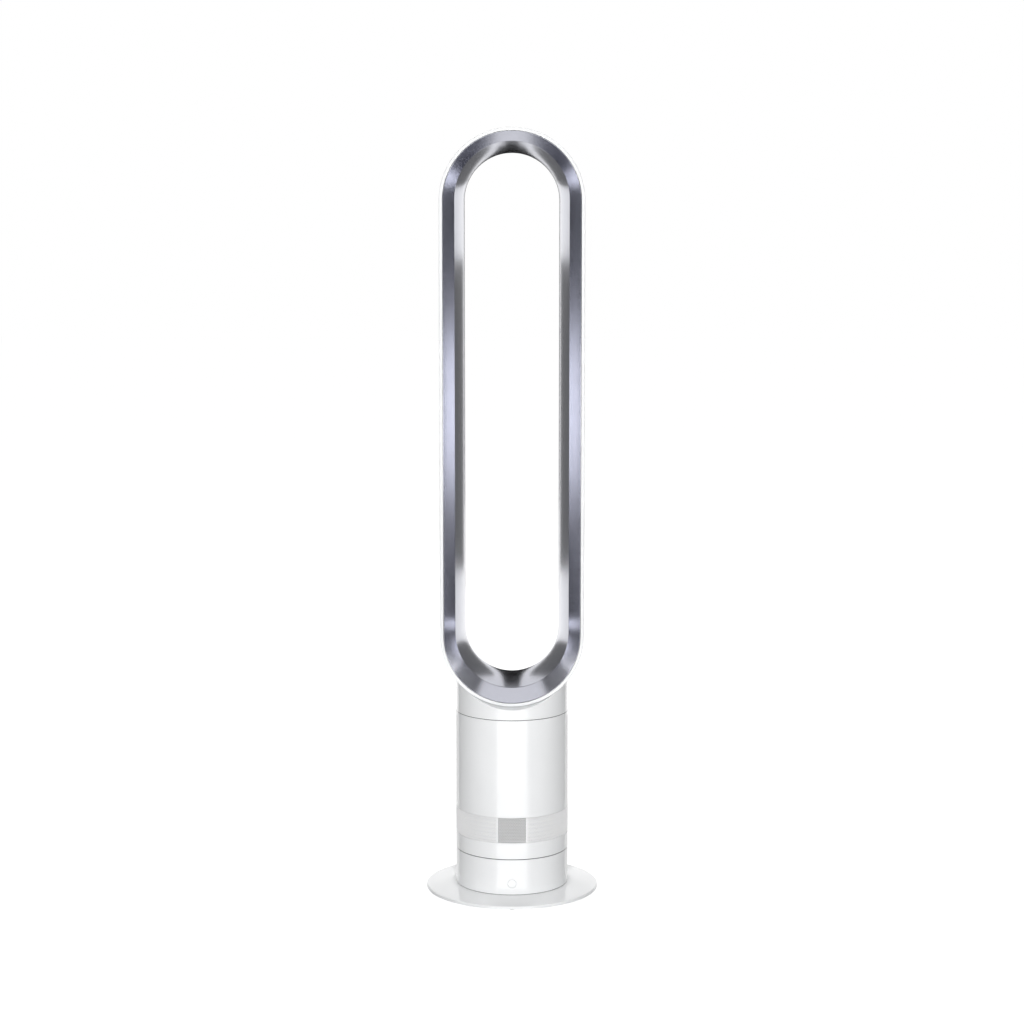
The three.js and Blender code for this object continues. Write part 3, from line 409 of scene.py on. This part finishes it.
drill(housing, BUTTON_HOLE, -80, -60, BUTTON_HEIGHT)
drill(housing, INLET_HOLE, 60, 80, INLET_HEIGHT)
print("housing faces", len(housing.data.polygons))

# %% Swinging ring and tube
ring_profile = [(BODY_BORE, 56.6), (BODY_RADIUS, 56.6), (BODY_RADIUS, 78.2), (72.6, 78.2), (72.6, 80.2),
                (70.1, 80.2), (BODY_BORE, 75.2), (BODY_BORE, 59.8), (62.1, 59.8), (62.1, 57.6),
                (BODY_BORE, 57.6)]
ring = turned(ring_profile, {1: 0.25, 2: 0.25}, 192)
make_piece("swinging_ring", ring, "swinging_body", "white_shell", "lower_shell")
tube_profile = [(72.6, 110.1), (72.6, 112.1), (BODY_RADIUS, 112.1), (BODY_RADIUS, 241.4),
                (GROOVE_RADIUS, 241.4), (GROOVE_RADIUS, 241.9), (BODY_BORE, 241.9), (BODY_BORE, 238.3),
                (62.1, 238.3), (62.1, 236.1), (BODY_BORE, 230.1), (BODY_BORE, 117.3), (62.1, 117.3),
                (62.1, 115.1), (70.1, 110.1)]
tube = turned(tube_profile, {2: 0.25, 3: 0.2}, 192)
make_piece("upper_tube", tube, "swinging_body", "white_shell", "upper_shell")

# %% [markdown]
# ## Shadow gaps
#
# The seams show as three fine dark lines, and nothing of what lies inside them shows. The grooves
# alone came out too pale, so a narrow black ring is set at the bottom of each as painted shadow: it
# stands in for the shade inside the groove. These rings are made up for the look: nothing says
# that the real fan has them.

# %% Dark rings in the grooves
# Each ring is painted shadow: black rubber set where the groove is only in shade.
for name, body, low, high in (("foot_gasket", "base", 8.65, 9.15), ("swing_gasket", "base", 55.65, 56.4),
                              ("neck_gasket", "swinging_body", 241.45, 242.15)):
    painted_shadow_ring = turned([(73.72, low), (73.95, low), (73.95, high), (73.72, high)], {}, 160)
    make_piece(name, painted_shadow_ring, body, "black_rubber")

# %% [markdown]
# ## The button
#
# One round button switches the fan. Its cap lies almost flush, with a slightly dished face and a
# soft edge, so that only a faint ring shows. A flange behind the wall keeps it in its hole.

# %% Power button
lay_along_y = Matrix.Rotation(-math.pi / 2, 3, "X")
button_profile = [(0, 0.28), (3.2, 0.2), (5.5, 0.0), (5.5, 3.0), (7.4, 3.0), (7.4, 4.5), (2, 4.5),
                  (2, 7.2), (0, 7.2)]
button = turned(button_profile, {1: 0.8, 2: 0.35}, 64)
bmesh.ops.rotate(button, verts=button.verts, cent=(0, 0, 0), matrix=lay_along_y)
bmesh.ops.translate(button, verts=button.verts, vec=(0, mm(-74.3), mm(BUTTON_HEIGHT)))
make_piece("button_cap", button, "power_button", "white_shell", "power_button")

# %% [markdown]
# ## The lead's bush
#
# The photograph shows no mains lead, so only the rubber bush at the back is made, with a rounded
# lip and a bore.

# %% Bush
bush = turned([(3.5, 0), (9, 0), (9, 2), (7, 2), (7, 6), (3.5, 6)], {1: 0.3, 4: 0.8, 5: 0.8}, 48)
bmesh.ops.rotate(bush, verts=bush.verts, cent=(0, 0, 0), matrix=lay_along_y)
bmesh.ops.translate(bush, verts=bush.verts, vec=(0, mm(69.1), mm(INLET_HEIGHT)))
make_piece("lead_bush", bush, "base", "black_rubber", "power_inlet")

# %% [markdown]
# ## The perforated band
#
# Air enters through thousands of round holes in staggered rows. One cell of the sheet is made
# with its hole, curved to the band, and spun round the axis as copies. Two narrow plain strips
# frame the display's patch, and there the cells have no hole, which leaves a toothed edge.
#
# The rim of a cell is given in halves of its width and height.

# %% Band cells
BAND_RADIUS = BODY_RADIUS
BAND_FOOT = 78.5
BAND_HEIGHT = 33.3
COLUMNS = 208
ROWS = 17
CELL_HEIGHT = 1.95
HOLE_RADIUS = 0.9
PITCH = 2 * math.pi / COLUMNS
CELL_WIDTH = BAND_RADIUS * PITCH
MARGIN = (BAND_HEIGHT - ROWS * CELL_HEIGHT) / 2
DISPLAY_EDGE = math.radians(14.4)


def lay_cell(bm, angle, holed):
    """One cell of the sheet, flat at first and then bent round the band at angle from the front."""
    rim = [(-1, -1), (0, -1), (1, -1), (1, 0), (1, 1), (0, 1), (-1, 1), (-1, 0)]
    cell = close_loop(bm, [(x * CELL_WIDTH / 2, 0, y * CELL_HEIGHT / 2) for x, y in rim])
    if holed:
        border = [edge for corner in cell[::2] for edge in corner.link_edges]
        upright = Matrix.Rotation(math.pi / 2, 4, "X")
        hole = bmesh.ops.create_circle(bm, radius=HOLE_RADIUS, segments=8, matrix=upright)["verts"]
        edges = {edge for vert in hole for edge in vert.link_edges}
        bmesh.ops.bridge_loops(bm, edges=border + list(edges))
        cell += hole
    else:
        bm.faces.new(cell)
    for vert in cell:
        turn = vert.co.x / BAND_RADIUS + angle
        vert.co = (mm(BAND_RADIUS) * math.sin(turn), -mm(BAND_RADIUS) * math.cos(turn), mm(vert.co.z))
    return cell


def lay_run(bm, first, last, holed):
    """Cells from the first to the last column of a row, as copies of one."""
    cell = lay_cell(bm, first * PITCH, holed)
    geom = {part for vert in cell for part in (vert, *vert.link_edges, *vert.link_faces)}
    steps = round(last - first)
    if steps:
        bmesh.ops.spin(bm, geom=list(geom), cent=(0, 0, 0), axis=(0, 0, 1), angle=steps * PITCH,
                       steps=steps, use_duplicate=True)


def lay_row(stagger):
    """A row round the band: the display's patch, a plain strip, the sides and the other strip."""
    bm = bmesh.new()
    shown = math.floor(DISPLAY_EDGE / PITCH - stagger) + stagger
    resumed = shown + 2
    lay_run(bm, -shown, shown, True)
    lay_run(bm, shown + 1, resumed - 1, False)
    lay_run(bm, resumed, COLUMNS - resumed, True)
    lay_run(bm, COLUMNS - resumed + 1, COLUMNS - shown - 1, False)
    return as_mesh(bm, "row")


# %% Band sheet
band = bmesh.new()
rows = [lay_row(0), lay_row(0.5)]
for number in range(ROWS):
    laid = len(band.verts)
    band.from_mesh(rows[number % 2])
    band.verts.ensure_lookup_table()
    height = BAND_FOOT + MARGIN + (number + 0.5) * CELL_HEIGHT
    bmesh.ops.translate(band, verts=band.verts[laid:], vec=(0, 0, mm(height)))
bmesh.ops.remove_doubles(band, verts=band.verts, dist=1e-6)
for level, reach in ((BAND_FOOT + BAND_HEIGHT - MARGIN, MARGIN), (BAND_FOOT + MARGIN, -MARGIN)):
    free = [edge for edge in band.edges if edge.is_boundary]
    rim = [edge for edge in free if all(abs(vert.co.z - mm(level)) < 1e-5 for vert in edge.verts)]
    grown = bmesh.ops.extrude_edge_only(band, edges=rim)["geom"]
    grown_points = [part for part in grown if isinstance(part, bmesh.types.BMVert)]
    bmesh.ops.translate(band, verts=grown_points, vec=(0, 0, mm(reach)))
bmesh.ops.recalc_face_normals(band, faces=band.faces)
bmesh.ops.solidify(band, geom=band.faces[:], thickness=mm(0.9))
make_piece("perforated_band", band, "swinging_body", "grille_enamel", "intake_grille", sharp=30)

# %% [markdown]
# ## The guard behind the band
#
# A pale woven guard lies behind the holes, all round but for the display's window. Through the
# holes it makes the sides of the band light, where the window makes the front patch dark.

# %% Guard
def curved_strip(radius, low, high, start, sweep, steps, thickness):
    """An upright strip bent round the axis from start through sweep, and given a wall."""
    bm = bmesh.new()
    bm.edges.new([bm.verts.new((0, -mm(radius), mm(height))) for height in (low, high)])
    bmesh.ops.rotate(bm, verts=bm.verts, cent=(0, 0, 0), matrix=Matrix.Rotation(start, 3, "Z"))
    bmesh.ops.spin(bm, geom=bm.verts[:] + bm.edges[:], cent=(0, 0, 0), axis=(0, 0, 1), angle=sweep,
                   steps=steps)
    bmesh.ops.recalc_face_normals(bm, faces=bm.faces)
    bmesh.ops.solidify(bm, geom=bm.faces[:], thickness=mm(thickness))
    return bm


GUARD_EDGE = DISPLAY_EDGE + math.radians(1.2)
guard = curved_strip(72.0, 80.6, 109.7, GUARD_EDGE, math.tau - 2 * GUARD_EDGE, 120, 0.4)
guard_piece = make_piece("woven_guard", guard, "swinging_body", "grille_enamel")
guard_piece.data.materials[0] = guard_weave

# %% [markdown]
# ### A dark mask
#
# In the photograph the dark patch reaches the band's top and bottom edges, and the window alone
# doesn't. A thin dark film close behind the holes fills the difference. It is made up for the look.

# %% Mask behind the front patch
mask = curved_strip(73.5, 78.8, 111.5, -DISPLAY_EDGE, 2 * DISPLAY_EDGE, 12, 0.2)
make_piece("display_mask", mask, "swinging_body", "smoked_window")

# %% [markdown]
# ## The nozzle loop
#
# The loop is a hollow stadium: two half rounds joined by straight sides. Each of its three skins
# is a profile carried once round that path. The profile starts at the right, is spun over the
# top, drawn down the left side, spun under the bottom and drawn up again.

# %% Carry a profile round the loop
LOOP_FRONT = -55
LOOP_STEPS = 64
LIP_LIFT = 2.4
UPPER_CENTRE = 913.3
LOWER_CENTRE = 349.7


def carried(profile):
    """A closed profile of (radius, depth) in mm, carried round the stadium and closed on itself."""
    bm = bmesh.new()
    start = [(mm(radius), mm(LOOP_FRONT + depth), mm(UPPER_CENTRE)) for radius, depth in profile]
    close_loop(bm, start)
    section = bm.verts[:] + bm.edges[:]
    for centre, following in ((UPPER_CENTRE, LOWER_CENTRE), (LOWER_CENTRE, UPPER_CENTRE)):
        half = bmesh.ops.spin(bm, geom=section, cent=(0, 0, mm(centre)), axis=(0, -1, 0), angle=math.pi,
                              steps=LOOP_STEPS)["geom_last"]
        edges = [part for part in half if isinstance(part, bmesh.types.BMEdge)]
        section = bmesh.ops.extrude_edge_only(bm, edges=edges)["geom"]
        moved = [part for part in section if isinstance(part, bmesh.types.BMVert)]
        bmesh.ops.translate(bm, verts=moved, vec=(0, 0, mm(following - centre)))
        section = [part for part in section if not isinstance(part, bmesh.types.BMFace)]
    bmesh.ops.remove_doubles(bm, verts=bm.verts, dist=1e-6)
    return bm


def lift_lip(bm, start, end):
    """The lip stands a little above the loop's middle: raises each point by its share of the lift."""
    for vert in bm.verts:
        share = (vert.co.y / mm(1) - LOOP_FRONT - start) / (end - start)
        vert.co.z += mm(LIP_LIFT) * min(max(share, 0), 1)


def part_ellipse(centre, radii, start, end, steps):
    turns = [start + (end - start) * i / steps for i in range(steps + 1)]
    return [(centre[0] + radii[0] * math.cos(turn), centre[1] + radii[1] * math.sin(turn)) for turn in turns]


def walled(face, thickness):
    """A closed profile for a skin: its face, and its back at thickness mm to the left of its run."""
    back = []
    for before, point, after in zip([face[0], *face], face, [*face[1:], face[-1]]):
        along = (Vector(after) - Vector(before)).normalized()
        back.append((point[0] - along.y * thickness, point[1] + along.x * thickness))
    return [*face, *reversed(back)]


# %% [markdown]
# ### Its white shell
#
# The shell is the outside: a narrow white rim at the front, a small radius, a deep flat side and
# a rounded tail that turns in to the slit.

# %% Shell
tail = part_ellipse((77.9, 77), (15.8, 33), 0, math.pi - math.asin(17 / 33), 22)
rim = part_ellipse((92.4, 1.3), (1.3, 1.3), -math.pi / 2, 0, 4)
shell = carried(walled([(89.4, 0), *rim, *tail], 2.4))
make_piece("loop_outer_shell", shell, "swinging_body", "white_shell", "loop_shell", sharp=50)

# %% [markdown]
# ### Its satin bezel
#
# A satin ring fills the front. It slopes inwards and back to a sharp lip, behind which a fine
# dark line marks where the inner wall begins.

# %% Bezel
fold = part_ellipse((88.6, 0.7), (0.5, 0.5), 0, -math.pi * 0.73, 5)
bezel = carried([(89.1, 10), *fold, (74.2, 16.6), (74.0, 17.0), (74.0, 18.4), (87.6, 3.3), (87.6, 10)])
lift_lip(bezel, 0.2, 17)
make_piece("satin_bezel", bezel, "swinging_body", "satin_metal", "loop_bezel", sharp=30)

# %% [markdown]
# ### Its satin inner wall
#
# The jet clings to the inner wall. It starts just behind the lip, narrows quickly and then gently
# to the throat, and curls outwards at the back, where the slit is.

# %% Inner wall
shares = [i / 16 for i in range(17)]
slope = [(62.1 + 11.9 * (1 - share) ** 1.6, 18.8 + 65.7 * share) for share in shares]
curl = part_ellipse((71.1, 84.5), (9, 9), math.pi, math.pi - math.radians(55), 10)
wall = carried(walled(slope + curl[1:], -1.6))
lift_lip(wall, 84.5, 18.8)
inner_nodes = [name for name in nodes if "inner_wall" in name]
make_piece("satin_inner_wall", wall, "swinging_body", "satin_metal", *inner_nodes, sharp=50)

# %% [markdown]
# ## The neck
#
# The neck carries the tube up to the loop and is scooped out to the loop's round, which leaves a
# thin crescent at the front. The disc is turned first, and its top is then raised to the scoop.

# %% Neck
SCOOP_RADIUS = 94.0
NECK_TOP = 250.6


def scoop(x):
    return LOWER_CENTRE - math.sqrt(SCOOP_RADIUS**2 - min(abs(x), BODY_RADIUS) ** 2)


neck_top = [(radius, NECK_TOP) for radius in (73.9, 70, 65, 60, 55, 50, 45)]
neck_profile = [(BODY_BORE, 242.2), (BODY_RADIUS, 242.2), (BODY_RADIUS, 250), *neck_top, (45, 248),
                (BODY_BORE, 248)]
neck = turned(neck_profile, {1: 0.2}, 192)
for vert in neck.verts:
    level = vert.co.z / mm(1)
    if level > 247.9:
        vert.co.z = mm(scoop(vert.co.x / mm(1)) + level - NECK_TOP)
make_piece("neck_collar", neck, "swinging_body", "white_shell", "neck")

# %% [markdown]
# ## Floor and light
#
# The fan stands in a white studio. The floor glows so strongly that it meets the white background
# without a line, and that also drowns the fan's shadow. Reflections see a world in four zones. A
# bright panel in front, seen only by what mirrors it from above, makes the strip down the white
# tube. A zone straight up and down lights the loop's ends, and darker sides shade the tube's edges.

# %% Floor
floor_bm = bmesh.new()
bmesh.ops.create_grid(floor_bm, x_segments=1, y_segments=1, size=12)
floor = put("studio_floor", as_mesh(floor_bm, "studio_floor"))
floor.visible_glossy = False


def seen_directly(tree):
    """The factor that is 1 for rays from the camera, from gloss and through glass."""
    path = add(tree, "LightPath").outputs
    gloss = add(tree, "Math", {0: path["Is Camera Ray"], 1: path["Is Glossy Ray"]}, operation="MAXIMUM")
    either = {0: gloss.outputs[0], 1: path["Is Transmission Ray"]}
    return add(tree, "Math", either, operation="MAXIMUM").outputs[0]


floor_paint = bpy.data.materials.new("white_studio_floor")
floor_paint.use_nodes = True
tree = floor_paint.node_tree
tree.nodes.clear()
matt = add(tree, "BsdfDiffuse", {"Color": (0.8, 0.8, 0.8, 1)})
faint = add(tree, "BsdfDiffuse", {"Color": (0.3, 0.3, 0.3, 1)})
glow = add(tree, "Emission", {"Color": (1, 1, 1, 1), "Strength": 0.95})
bright = add(tree, "AddShader", {0: faint.outputs[0], 1: glow.outputs[0]})
chosen = add(tree, "MixShader", {0: seen_directly(tree), 1: matt.outputs[0], 2: bright.outputs[0]})
add(tree, "OutputMaterial", {"Surface": chosen.outputs[0]})
floor.data.materials.append(floor_paint)

# %% Background and soft light
world = bpy.data.worlds.new("white_studio")
bpy.context.scene.world = world
world.use_nodes = True
tree = world.node_tree
tree.nodes.clear()
surround = add(tree, "Background", {"Color": (1, 1, 1, 1), "Strength": 0.17})
backdrop = add(tree, "Background", {"Color": (1, 1, 1, 1), "Strength": 1.0})
panel = add(tree, "Background", {"Color": (1, 1, 1, 1), "Strength": 3.2})
lid = add(tree, "Background", {"Color": (1, 1, 1, 1), "Strength": 1.6})
wing = add(tree, "Background", {"Color": (1, 1, 1, 1), "Strength": 0.3})
way = add(tree, "SeparateXYZ", {0: add(tree, "TexCoord").outputs["Generated"]}).outputs
aside = add(tree, "Math", {0: way["X"]}, operation="ABSOLUTE").outputs[0]
PANEL_HALF_ANGLE = math.radians(31)
reach = add(tree, "Math", {0: way["Y"], 1: -math.tan(PANEL_HALF_ANGLE)}, operation="MULTIPLY").outputs[0]
ahead = add(tree, "Math", {0: reach, 1: aside}, operation="GREATER_THAN").outputs[0]
low = add(tree, "Math", {0: way["Z"], 1: -0.196}, operation="LESS_THAN").outputs[0]
facing = add(tree, "Math", {0: ahead, 1: low}, operation="MULTIPLY").outputs[0]
lowered = add(tree, "Math", {0: way["Z"], 1: 0.07}, operation="SUBTRACT").outputs[0]
rise = add(tree, "Math", {0: lowered}, operation="ABSOLUTE").outputs[0]
steep = add(tree, "Math", {0: rise, 1: 0.73}, operation="GREATER_THAN").outputs[0]
beside = add(tree, "Math", {0: aside, 1: 0.6}, operation="GREATER_THAN").outputs[0]
winged = add(tree, "MixShader", {0: beside, 1: backdrop.outputs[0], 2: wing.outputs[0]})
mirrored = add(tree, "LightPath").outputs["Is Glossy Ray"]
framed = add(tree, "MixShader", {0: facing, 1: winged.outputs[0], 2: panel.outputs[0]})
lidded = add(tree, "MixShader", {0: steep, 1: framed.outputs[0], 2: lid.outputs[0]})
shown = add(tree, "MixShader", {0: mirrored, 1: backdrop.outputs[0], 2: lidded.outputs[0]})
chosen = add(tree, "MixShader", {0: seen_directly(tree), 1: surround.outputs[0], 2: shown.outputs[0]})
add(tree, "OutputWorld", {"Surface": chosen.outputs[0]})


def soft_box(name, width, height, watts, place, target):
    """A flat lamp, its size in metres, turned towards target. The camera doesn't see it."""
    lamp = put(name, bpy.data.lights.new(name, "AREA"))
    lamp.data.shape = "RECTANGLE"
    lamp.data.size, lamp.data.size_y, lamp.data.energy = width, height, watts
    lamp.location = place
    lamp.rotation_euler = (Vector(target) - Vector(place)).to_track_quat("-Z", "Y").to_euler()
    lamp.visible_camera = lamp.visible_glossy = False


soft_box("front_panel", 1.2, 1.7, 54, (0, -2.8, 0.8), (0, 0, 0.45))
soft_box("top_panel", 1.5, 1.5, 10, (0, -0.7, 2.2), (0, 0, 0.2))
for side in (-1, 1):
    soft_box("back_panel", 1.2, 1.7, 35, (1.4 * side, 2.4, 1.0), (0, 0, 0.5))

# %% [markdown]
# ### Cards for the metal
#
# Satin metal shows little but what it mirrors. These cards, which only reflections see, were set
# by tracing rays from the camera, so they suit that one view and look arbitrary from others. A
# plain studio of soft boxes would look right from every side, and is the better way.


# %% Cards
def card(name, width, height, strength, place):
    """A flat card that faces the fan and shows only in its reflections."""
    card_bm = bmesh.new()
    bmesh.ops.create_grid(card_bm, x_segments=1, y_segments=1, size=0.5)
    bmesh.ops.scale(card_bm, verts=card_bm.verts, vec=(width, height, 1))
    sheet = put(name, as_mesh(card_bm, name))
    paper = bpy.data.materials.new(name)
    paper.use_nodes = True
    paper.node_tree.nodes.clear()
    light = add(paper.node_tree, "Emission", {"Color": (1, 1, 1, 1), "Strength": strength})
    add(paper.node_tree, "OutputMaterial", {"Surface": light.outputs[0]})
    paper.cycles.emission_sampling = "NONE"
    sheet.data.materials.append(paper)
    sheet.location = place
    sheet.rotation_euler = Vector((-place[0], -place[1], 0)).to_track_quat("Z", "Y").to_euler()
    sheet.visible_camera = sheet.visible_diffuse = False
    sheet.visible_transmission = sheet.visible_shadow = False


for side in (-1, 1):
    card("side_flag", 0.7, 1.3, 0.45, (0.85 * side, -0.42, 0.6))
    card("side_box", 0.5, 0.26, 7.5, (0.76 * side, -0.373, 0.549))
    card("rear_box", 0.6, 1.35, 1.5, (0.42 * side, 1.0, 0.675))
    card("rear_flag", 0.5, 0.54, 0.25, (0.46 * side, 0.86, 0.54))
card("rear_middle_flag", 0.26, 0.7, 0.02, (0, 0.93, 0.74))
card("rear_low_flag", 0.14, 0.3, 0.02, (0, 0.92, 0.4))

# %% Plain view transform
bpy.context.scene.view_settings.view_transform = "Standard"
